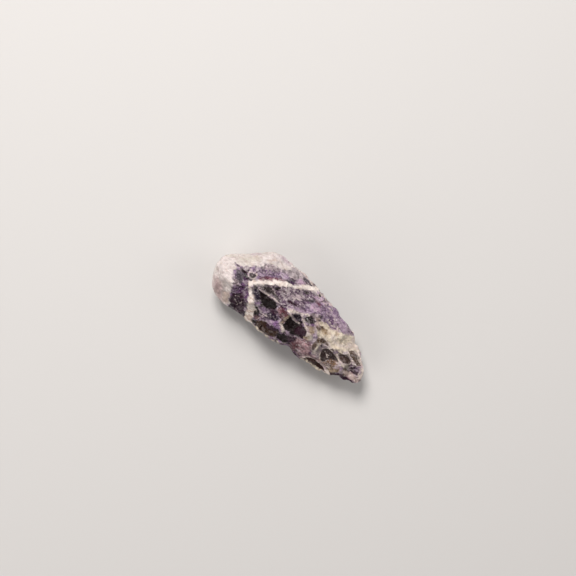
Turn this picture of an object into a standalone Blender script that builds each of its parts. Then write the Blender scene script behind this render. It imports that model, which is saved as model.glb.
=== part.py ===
"""Rough chevron amethyst: one broken crystal point, lying on a flat fracture face.

Metres, +Z up. The origin is the middle of the bounding box, at its bottom. +X is the long way,
from the blunt end with its milky quartz skin to the tapered tip.
Sizes below are in millimetres, and MM turns them into metres.
"""
import math

import bmesh
import bpy
from mathutils import Vector, noise
from mathutils.bvhtree import BVHTree

MM = 0.001

# Driving dimensions of the stone
LENGTH = 67.6
WIDTH = 27.2
HEIGHT = 23.0

# Plan outline: place along the length, then the edge on the -Y side and on the +Y side
OUTLINE = (
    (-33.8, -3.6, -0.6),
    (-33.1, -6.4, 1.3),
    (-31.8, -9.5, 3.0),
    (-29.2, -11.8, 4.9),
    (-27.0, -12.9, 7.0),
    (-24.2, -13.6, 9.3),
    (-22.7, -13.5, 10.2),
    (-20.2, -13.2, 12.6),
    (-16.5, -12.9, 13.6),
    (-14.0, -12.9, 13.5),
    (-11.0, -13.1, 12.8),
    (-7.8, -13.3, 13.6),
    (-2.5, -13.2, 12.7),
    (1.4, -12.2, 12.1),
    (5.3, -11.0, 11.2),
    (6.5, -11.3, 11.1),
    (8.8, -11.9, 10.9),
    (14.4, -11.6, 9.5),
    (18.6, -11.4, 8.5),
    (23.2, -10.9, 5.8),
    (26.6, -7.7, 4.3),
    (30.2, -7.3, 2.0),
    (32.6, -6.4, 0.5),
    (33.5, -5.2, -0.4),
    (33.8, -4.0, -1.4),
)

# Side profile: place along the length, underside height and top height. The underside reaches
# below zero, where the flat fracture face that the stone rests on is cut.
PROFILE = (
    (-33.8, 8.4, 12.6),
    (-32.8, 5.2, 16.0),
    (-30.0, 1.6, 18.8),
    (-25.0, -1.6, 20.8),
    (-19.0, -2.2, 22.6),
    (-10.0, -2.4, 23.2),
    (-3.0, -2.4, 22.6),
    (4.0, -2.4, 20.8),
    (12.0, -2.0, 18.6),
    (17.0, -0.6, 16.8),
    (22.0, 1.3, 14.6),
    (28.0, 3.4, 11.8),
    (32.0, 4.8, 9.9),
    (33.8, 6.2, 8.4),
)

# The cuts and chips eat into the edges, so the outline is brought back at stretches this long,
# each read at a few places
OUTLINE_STRETCH = 3.2
OUTLINE_READINGS = 5

# Corners of a cross-section, as shares of its width from -Y to +Y and of its height:
# from the rest face up the -Y flank, over the ridge and down the +Y flank
SECTION = (
    (0.26, 0.00),
    (0.08, 0.19),
    (0.00, 0.42),
    (0.04, 0.62),
    (0.16, 0.83),
    (0.45, 1.00),
    (0.76, 0.89),
    (0.93, 0.68),
    (1.00, 0.46),
    (0.94, 0.22),
    (0.76, 0.00),
)

# Mesh density: rings along the length, and points around each ring. The rings bunch up towards
# the ends, and this share of their spacing stays even.
RINGS = 64
AROUND = 58
EVEN_SPACING = 0.45

# Middle of the crystal, seen along its length: where its growth faces meet
AXIS_Y = -1.3
AXIS_Z = 10.0

# How far each of the three growth faces leans back per millimetre from the axis, in Y and Z
GROWTH_FACES = (
    (-0.81, 0.20),
    (1.60, 0.20),
    (0.10, -1.00),
)

# White chevron lines, as distances of their growth layer along the axis. The stone steps down
# over a short drop after each line and climbs back over a long slope, each line stands a little
# proud, and the layers wander from true planes. Wear has taken most of this off the edges: it
# fades over these shares of the way from the axis out to the outline, down to CHEVRON_AT_EDGE.
CHEVRONS = (-21.8, -3.9, 10.4)
CHEVRON_STEP = 1.0
CHEVRON_DROP = 1.2
CHEVRON_CLIMB_START = 3.0
CHEVRON_CLIMB_END = 16.0
CHEVRON_RISE = 0.3
CHEVRON_HALF_WIDTH = 1.0
CHEVRON_WANDER = 0.6
CHEVRON_WANDER_SIZE = 4.0
CHEVRON_FADE_START = 0.65
CHEVRON_FADE_END = 0.92
CHEVRON_AT_EDGE = 0.15

# Outer layer of milky quartz: its boundary layer, how that leans on the +Y side, fades out and
# wanders, and its lumps, with the distance from a lump's centre where it crosses the mean surface
SKIN_LAYER = -29.6
SKIN_LEAN = 0.45
SKIN_FADE = 0.9
SKIN_WANDER = 1.4
SKIN_WANDER_SIZE = 5.0
SKIN_THICKNESS = 0.8
SKIN_LUMP = 3.4
SKIN_LUMP_HEIGHT = 1.1
SKIN_LUMP_REACH = 0.6

# Flat fracture faces: place along the length, angle round the middle (0 is +Y, 90 is up),
# lean towards the tip in degrees, and how deep each cuts
FLATS = (
    (-5.5, 144, -3, 1.3),
    (3.5, 132, 6, 1.0),
    (16.0, 143, 14, 1.2),
    (-21.0, 152, -8, 0.9),
    (5.0, 208, 6, 1.0),
    (-14.0, 218, -4, 1.6),
    (17.0, 224, 14, 0.9),
    (12.0, 42, 12, 1.2),
    (-5.0, 47, 4, 0.9),
    (24.0, 38, 24, 0.7),
    (-12.0, -18, -2, 1.0),
    (4.0, -24, 7, 1.2),
    (19.0, -28, 20, 0.9),
    (-31.0, 150, -42, 0.6),
    (-30.0, 50, -40, 0.6),
    (-30.0, -24, -44, 0.8),
    (-30.0, 230, -42, 0.8),
    (31.5, 90, 26, 0.5),
    (-20.0, 304, -6, 1.4),
    (8.0, 306, 6, 1.2),
)

# Shell-shaped hollows: place along the length, angle round the middle, radius of the hollow and
# its depth
HOLLOWS = (
    (-11.5, 98, 9.0, 1.5),
    (-9.0, 122, 7.0, 1.2),
    (3.5, 106, 8.0, 1.5),
    (8.0, 84, 6.5, 1.0),
    (14.0, 90, 5.5, 1.0),
    (18.8, 114, 5.2, 1.4),
    (24.0, 90, 4.6, 1.1),
    (27.4, 62, 4.0, 1.0),
    (30.6, 104, 4.4, 0.8),
    (27.2, 176, 6.5, 1.0),
    (-23.6, 96, 5.0, 0.7),
    (-19.6, 124, 6.0, 0.9),
    (-14.0, 62, 9.0, 0.7),
    (5.2, 172, 4.0, 1.0),
    (-6.0, 10, 7.0, 1.0),
    (9.0, 334, 8.0, 1.3),
    (-7.0, 198, 9.0, 1.0),
    (-24.0, 330, 8.0, 1.3),
    (14.0, 200, 6.0, 1.0),
)

# Shell-like chips between these: size of a chip and how deep it is dished. Their height is level
# with the mean surface at CHIP_LEVEL, and their ridges are cut off at CHIP_RIM.
CHIPS = (
    (6.5, 1.5),
    (3.6, 0.9),
)
CHIP_LEVEL = 0.3
CHIP_RIM = 0.6

# Fine ledges along the +Y flank: where the flank starts and is full, measured across from the
# axis, and how the ledges are spaced, lean and wander
FLANK_START = 5.0
FLANK_FULL = 9.0
FLANK_LEDGE_SPACING = 1.9
FLANK_LEDGE_DEPTH = 0.35
FLANK_LEDGE_LEAN = 0.25
FLANK_LEDGE_WANDER = 0.7
FLANK_LEDGE_WANDER_SIZE = 6.0

# How far wear has rounded the spikes of the relief, as a share of a full smoothing
WEAR = 0.35

# Points nearer to a cut than this are drawn onto it, so that the cut leaves no slivers
CUT_REACH = 0.3
REST_CUT_REACH = 0.1

STONE_COLOUR = (0.235, 0.155, 0.245, 1.0)
STONE_ROUGHNESS = 0.38


def between(table, place):
    """Value of a table at a place along the length, straight between its rows."""
    for left, right in zip(table, table[1:]):
        if place <= right[0]:
            share = (place - left[0]) / (right[0] - left[0])
            return [a + (b - a) * share for a, b in zip(left[1:], right[1:])]
    return list(table[-1][1:])


def smooth(value, start, end):
    """0 before start and 1 after end, with a smooth rise between them."""
    share = min(1.0, max(0.0, (value - start) / (end - start)))
    return share * share * (3.0 - 2.0 * share)


def ring_points(place):
    """Points around one cross-section, evenly spaced along its corners."""
    low_edge, high_edge = between(OUTLINE, place)
    bottom, top = between(PROFILE, place)
    corners = []
    for across, up in SECTION:
        y = low_edge + across * (high_edge - low_edge)
        z = bottom + up * (top - bottom)
        corners.append(Vector((place, y, z)))
    sides = list(zip(corners, corners[1:] + corners[:1]))
    around = sum((b - a).length for a, b in sides)
    points = []
    side = 0
    passed = 0.0
    for index in range(AROUND):
        target = around * index / AROUND
        while passed + (sides[side][1] - sides[side][0]).length < target:
            passed += (sides[side][1] - sides[side][0]).length
            side += 1
        start, end = sides[side]
        points.append(start.lerp(end, (target - passed) / (end - start).length))
    return points


def ring_place(index):
    """Place of a ring along the length, with the rings closer together near the ends."""
    share = index / (RINGS - 1)
    eased = 0.5 - 0.5 * math.cos(math.pi * share)
    return LENGTH * (EVEN_SPACING * share + (1.0 - EVEN_SPACING) * eased - 0.5)


def next_along(vert, fresh):
    """The neighbour of a point that belongs to the newly extruded ring."""
    for edge in vert.link_edges:
        if edge.other_vert(vert) in fresh:
            return edge.other_vert(vert)


def make_body():
    """Closed body: one ring extruded along the length from cross-section to cross-section."""
    bm = bmesh.new()
    ring = bmesh.ops.create_circle(bm, cap_ends=False, segments=AROUND, radius=1.0)["verts"]
    edges = bm.edges[:]
    for index in range(RINGS):
        if index > 0:
            made = bmesh.ops.extrude_edge_only(bm, edges=edges)["geom"]
            fresh = {item for item in made if isinstance(item, bmesh.types.BMVert)}
            edges = [item for item in made if isinstance(item, bmesh.types.BMEdge)]
            ring = [next_along(vert, fresh) for vert in ring]
        for vert, point in zip(ring, ring_points(ring_place(index))):
            vert.co = point
    ends = bmesh.ops.holes_fill(bm, edges=bm.edges[:], sides=0)["faces"]
    bmesh.ops.poke(bm, faces=ends)
    bmesh.ops.recalc_face_normals(bm, faces=bm.faces[:])
    return bm


def surface_at(bm, place, angle):
    """Point of the surface at an angle round the middle of a cross-section, and its direction."""
    low_edge, high_edge = between(OUTLINE, place)
    bottom, top = between(PROFILE, place)
    turn = math.radians(angle)
    outward = Vector((0.0, math.cos(turn), math.sin(turn)))
    start = Vector((place, (low_edge + high_edge) / 2, (bottom + top) / 2)) + outward * WIDTH
    hit = BVHTree.FromBMesh(bm).ray_cast(start, -outward)[0]
    return hit, outward


def flatten(bm, point, normal):
    """Cut along a plane, and lay everything beyond it flat on the plane."""
    bmesh.ops.bisect_plane(
        bm,
        geom=bm.verts[:] + bm.edges[:] + bm.faces[:],
        dist=CUT_REACH,
        plane_co=point,
        plane_no=normal,
        use_snap_center=True,
    )
    for vert in bm.verts:
        beyond = (vert.co - point).dot(normal)
        if beyond > 0.0:
            vert.co -= normal * beyond


def cut_flats(bm):
    """The large flat fracture faces."""
    for place, angle, lean, depth in FLATS:
        hit, outward = surface_at(bm, place, angle)
        tilt = math.radians(lean)
        normal = outward * math.cos(tilt) + Vector((math.sin(tilt), 0.0, 0.0))
        flatten(bm, hit - normal * depth, normal)


def press_hollows(bm):
    """The shell-shaped hollows: points inside each ball move out to its surface."""
    for place, angle, radius, depth in HOLLOWS:
        hit, outward = surface_at(bm, place, angle)
        centre = hit + outward * (radius - depth)
        for vert in bm.verts:
            reach = vert.co - centre
            if reach.length < radius:
                vert.co = centre + reach.normalized() * radius


def growth_layer(point):
    """Distance along the axis of the growth layer that passes through a point."""
    across = point.y - AXIS_Y
    up = point.z - AXIS_Z
    return point.x - max(lean_y * across + lean_z * up for lean_y, lean_z in GROWTH_FACES)


def skin_share(point):
    """1 on the milky skin of the blunt end and the +Y edge, 0 on the broken crystal."""
    wander = SKIN_WANDER * noise.noise(point / SKIN_WANDER_SIZE)
    layer = growth_layer(point) + SKIN_LEAN * max(0.0, point.y - AXIS_Y) + wander
    return 1.0 - smooth(layer, SKIN_LAYER, SKIN_LAYER + SKIN_FADE)


def chevron_height(point):
    """Ledges of the growth layers: each white line stands proud and the stone steps down after it."""
    layer = growth_layer(point) + CHEVRON_WANDER * noise.noise(point / CHEVRON_WANDER_SIZE)
    height = 0.0
    for line in CHEVRONS:
        past = layer - line
        height += CHEVRON_RISE * math.exp(-((past / CHEVRON_HALF_WIDTH) ** 2))
        height -= CHEVRON_STEP * smooth(past, 0.0, CHEVRON_DROP)
        height += CHEVRON_STEP * smooth(past, CHEVRON_CLIMB_START, CHEVRON_CLIMB_END)
    low_edge, high_edge = between(OUTLINE, point.x)
    edge = low_edge if point.y < AXIS_Y else high_edge
    worn = smooth((point.y - AXIS_Y) / (edge - AXIS_Y), CHEVRON_FADE_START, CHEVRON_FADE_END)
    return height * (1.0 - (1.0 - CHEVRON_AT_EDGE) * worn)


def chip_depth(point):
    """Dished chips that meet in sharp ridges: deepest in the middle of each cell."""
    depth = 0.0
    for size, dish in CHIPS:
        nearest = noise.voronoi(point / size)[0][0]
        depth += dish * (CHIP_LEVEL - min(CHIP_RIM, nearest * nearest))
    return depth


def lump_height(point):
    """Rounded lumps of the milky skin."""
    nearest = noise.voronoi(point / SKIN_LUMP)[0][0]
    return SKIN_LUMP_HEIGHT * (SKIN_LUMP_REACH - nearest)


def ledge_height(point):
    """Fine ledges along the +Y flank."""
    flank = smooth(point.y - AXIS_Y, FLANK_START, FLANK_FULL)
    wander = FLANK_LEDGE_WANDER * noise.noise(point / FLANK_LEDGE_WANDER_SIZE)
    level = (point.z + FLANK_LEDGE_LEAN * point.x + wander) / FLANK_LEDGE_SPACING
    return flank * FLANK_LEDGE_DEPTH * (level - math.floor(level) - 0.5)


def raise_relief(bm):
    """Move every point along its normal by the relief at that place."""
    bm.normal_update()
    moves = []
    for vert in bm.verts:
        skin = skin_share(vert.co)
        broken = ledge_height(vert.co) + chevron_height(vert.co) - chip_depth(vert.co)
        rounded = SKIN_THICKNESS + lump_height(vert.co)
        moves.append(vert.normal * (rounded * skin + broken * (1.0 - skin)))
    for vert, move in zip(bm.verts, moves):
        vert.co += move
    bmesh.ops.smooth_vert(
        bm, verts=bm.verts[:], factor=WEAR, use_axis_x=True, use_axis_y=True, use_axis_z=True
    )


def edge_share(bm, place, side):
    """How far the broken edge falls short of the outline over one stretch, as a ratio."""
    start = place - OUTLINE_STRETCH / 2
    step = OUTLINE_STRETCH / (OUTLINE_READINGS - 1)
    wanted = [between(OUTLINE, start + step * index)[side] for index in range(OUTLINE_READINGS)]
    found = [vert.co.y for vert in bm.verts if abs(vert.co.x - place) < OUTLINE_STRETCH / 2]
    if side == 0:
        return (min(wanted) - AXIS_Y) / (min(found) - AXIS_Y)
    return (max(wanted) - AXIS_Y) / (max(found) - AXIS_Y)


def hold_outline(bm):
    """Widen each side of the stone to its outline, stretch by stretch along the length."""
    stretches = int(LENGTH / OUTLINE_STRETCH) + 1
    places = [LENGTH * (index / (stretches - 1) - 0.5) for index in range(stretches)]
    places[0] += OUTLINE_STRETCH / 2
    places[-1] -= OUTLINE_STRETCH / 2
    shares = [(place, edge_share(bm, place, 0), edge_share(bm, place, 1)) for place in places]
    shares.insert(0, (-LENGTH, *shares[0][1:]))
    for vert in bm.verts:
        side = 0 if vert.co.y < AXIS_Y else 1
        vert.co.y = AXIS_Y + (vert.co.y - AXIS_Y) * between(shares, vert.co.x)[side]


def cut_rest_face(bm):
    """Cut the underside off flat where the stone rests."""
    cut = bmesh.ops.bisect_plane(
        bm,
        geom=bm.verts[:] + bm.edges[:] + bm.faces[:],
        dist=REST_CUT_REACH,
        plane_co=(0.0, 0.0, 0.0),
        plane_no=(0.0, 0.0, -1.0),
        use_snap_center=True,
        clear_outer=True,
    )["geom_cut"]
    rim = [item for item in cut if isinstance(item, bmesh.types.BMEdge)]
    bmesh.ops.holes_fill(bm, edges=rim, sides=0)


def fit_to_size(bm):
    """Bring the broken outline to the driving length, width and height."""
    for axis, size in enumerate((LENGTH, WIDTH, HEIGHT)):
        low = min(vert.co[axis] for vert in bm.verts)
        high = max(vert.co[axis] for vert in bm.verts)
        new_low = 0.0 if axis == 2 else -size / 2
        for vert in bm.verts:
            vert.co[axis] = new_low + (vert.co[axis] - low) * size / (high - low)


def stone_material():
    """Purple quartz, plain here."""
    material = bpy.data.materials.new("chevron_amethyst")
    material.use_nodes = True
    shader = material.node_tree.nodes["Principled BSDF"]
    shader.inputs["Base Color"].default_value = STONE_COLOUR
    shader.inputs["Roughness"].default_value = STONE_ROUGHNESS
    shader.inputs["Metallic"].default_value = 0.0
    return material


def make_stone():
    """The whole stone: body, fracture faces, hollows, relief and rest face, brought to size."""
    bm = make_body()
    cut_flats(bm)
    press_hollows(bm)
    raise_relief(bm)
    hold_outline(bm)
    cut_rest_face(bm)
    fit_to_size(bm)
    bmesh.ops.triangulate(bm, faces=bm.faces[:])
    bmesh.ops.recalc_face_normals(bm, faces=bm.faces[:])
    bmesh.ops.scale(bm, vec=(MM, MM, MM), verts=bm.verts[:])
    mesh = bpy.data.meshes.new("amethyst_point")
    bm.to_mesh(mesh)
    bm.free()
    stone = bpy.data.objects.new("amethyst_point", mesh)
    stone.data.materials.append(stone_material())
    bpy.context.scene.collection.objects.link(stone)


for old in list(bpy.data.objects):
    bpy.data.objects.remove(old, do_unlink=True)
make_stone()
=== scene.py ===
import math

import bmesh
import bpy
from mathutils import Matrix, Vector, noise


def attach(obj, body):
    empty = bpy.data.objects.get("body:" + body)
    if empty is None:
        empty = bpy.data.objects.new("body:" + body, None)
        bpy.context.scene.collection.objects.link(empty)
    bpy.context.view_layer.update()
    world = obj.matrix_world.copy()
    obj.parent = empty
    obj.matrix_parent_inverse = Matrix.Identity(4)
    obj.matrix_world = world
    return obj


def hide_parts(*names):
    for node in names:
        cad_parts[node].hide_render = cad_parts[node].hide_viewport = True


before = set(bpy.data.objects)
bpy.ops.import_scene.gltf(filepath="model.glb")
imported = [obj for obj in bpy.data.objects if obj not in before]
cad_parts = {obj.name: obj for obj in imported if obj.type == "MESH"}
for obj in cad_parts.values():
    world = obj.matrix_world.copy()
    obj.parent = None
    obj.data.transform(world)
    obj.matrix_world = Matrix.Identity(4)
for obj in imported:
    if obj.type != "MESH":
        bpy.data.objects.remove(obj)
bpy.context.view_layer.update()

# The chevron amethyst
# One broken lump of banded quartz. It grew in layers on faces that meet in a point, so its violet,
# dark and milky layers show as nested chevrons, under a skin of milky quartz at the blunt end.
MM = 0.001
MERGE_DISTANCE = 0.001
MESH_STEP = 0.26
SOFTENING_PASSES = 3

# The middle of the crystal seen along its length, and how far each of its growth faces leans back
# per millimetre from there, across and up
AXIS_Y = -1.3
AXIS_Z = 10.0
GROWTH_FACES = (
    (-0.81, 0.20),
    (1.60, 0.20),
    (0.10, -1.00),
)

# Milky lines round the flanks and the underside: the growth layer that each follows, and its half
# width on the +Y and the -Y side. They widen towards the -Y edge.
MILK_LINES = (
    (-21.8, 1.25, 1.20),
    (-4.6, 0.50, 0.40),
    (10.2, 0.55, 0.55),
)
LINE_SPREAD_START = 5.0
LINE_SPREAD_END = 12.0
LINE_SPREAD = 0.35

# The milky skin ends at a layer that leans with the distance across, up to a rim where it turns back
SKIN_LAYER = -29.7
SKIN_LEAN = 0.50
SKIN_RIM = 9.0
SKIN_RIM_LEAN = 1.3
SKIN_EDGE = 0.5

# How far the edge of the skin and the milky lines wander, and over what distances
SKIN_WANDER = 1.1
SKIN_WANDER_SIZE = 3.0
SKIN_FRAY = 0.9
SKIN_FRAY_SIZE = 0.9
LINE_WANDER = 0.7
LINE_WANDER_SIZE = 2.6
LINE_FRAY_SIZE = 0.8

# Sizes of the small fractures: chips with a tilt of their own, and finer grains. A grain is drawn
# out along the crystal into a splinter, whose width is this share of its length.
CHIP = 2.3
GRAIN = 0.85
SPLINTER = 0.6


def tint(red, green, blue):
    """A colour given as it looks on screen, 0 to 255, in linear light."""
    return Vector([((value / 255 + 0.055) / 1.055) ** 2.4 for value in (red, green, blue)])


# Looks of the quartz: colour, how clear it is, and how grainy the break is
LOOKS = {
    "slate": (tint(86, 78, 86), 0.6, 0.12),
    "black": (tint(18, 5, 6), 1.0, 0.05),
    "navy": (tint(34, 20, 40), 0.7, 0.3),
    "dark maroon": (tint(46, 13, 38), 0.8, 0.1),
    "violet": (tint(100, 66, 106), 0.2, 0.5),
    "bright violet": (tint(164, 118, 176), 0.0, 0.7),
    "lavender": (tint(164, 138, 170), 0.0, 0.7),
    "pale lavender": (tint(184, 160, 182), 0.0, 0.4),
    "pink lavender": (tint(198, 167, 192), 0.0, 0.6),
    "magenta": (tint(114, 58, 80), 0.3, 0.3),
    "mauve": (tint(178, 141, 146), 0.0, 0.6),
    "rose": (tint(118, 66, 78), 0.3, 0.3),
    "green grey": (tint(52, 45, 44), 0.6, 0.35),
    "pepper": (tint(108, 86, 108), 0.1, 0.8),
    "pale pepper": (tint(190, 172, 178), 0.0, 0.6),
    "cream": (tint(240, 226, 206), 0.0, 0.12),
    "milk": (tint(240, 226, 217), 0.0, 0.15),
    "olive": (tint(54, 34, 22), 0.85, 0.12),
    "tan": (tint(160, 140, 118), 0.0, 0.3),
    "ochre": (tint(204, 176, 138), 0.0, 0.4),
    "brown": (tint(84, 62, 46), 0.3, 0.4),
    "plum": (tint(44, 16, 32), 0.9, 0.05),
    "grey glass": (tint(66, 48, 42), 0.7, 0.2),
    "grey brown": (tint(88, 70, 56), 0.6, 0.3),
    "lens brown": (tint(48, 18, 10), 0.95, 0.05),
    "brown grain": (tint(136, 108, 86), 0.1, 0.7),
    "dusky violet": (tint(52, 28, 42), 0.6, 0.3),
    "brown rose": (tint(104, 66, 72), 0.3, 0.3),
    "pale rose": (tint(212, 190, 182), 0.0, 0.35),
    "green milk": (tint(206, 199, 186), 0.0, 0.1),
    "violet milk": (tint(192, 172, 186), 0.0, 0.1),
    # Mauve for the painted shade on the -Y side of the skin
    "mauve milk": (tint(176, 150, 150), 0.0, 0.1),
    "tan milk": (tint(200, 172, 154), 0.0, 0.1),
    "grey milk": (tint(192, 182, 170), 0.0, 0.3),
    "smoky": (tint(52, 40, 38), 0.85, 0.12),
    "deep violet": (tint(76, 46, 84), 0.5, 0.3),
    "white pepper": (tint(216, 202, 206), 0.0, 0.6),
    # Cream lighter than the cream round it: painted light over a facet of the relief that faces away from
    # the key light
    "bright cream": (tint(250, 237, 216), 0.0, 0.1),
    "white milk": (tint(244, 234, 228), 0.0, 0.1),
}

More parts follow.
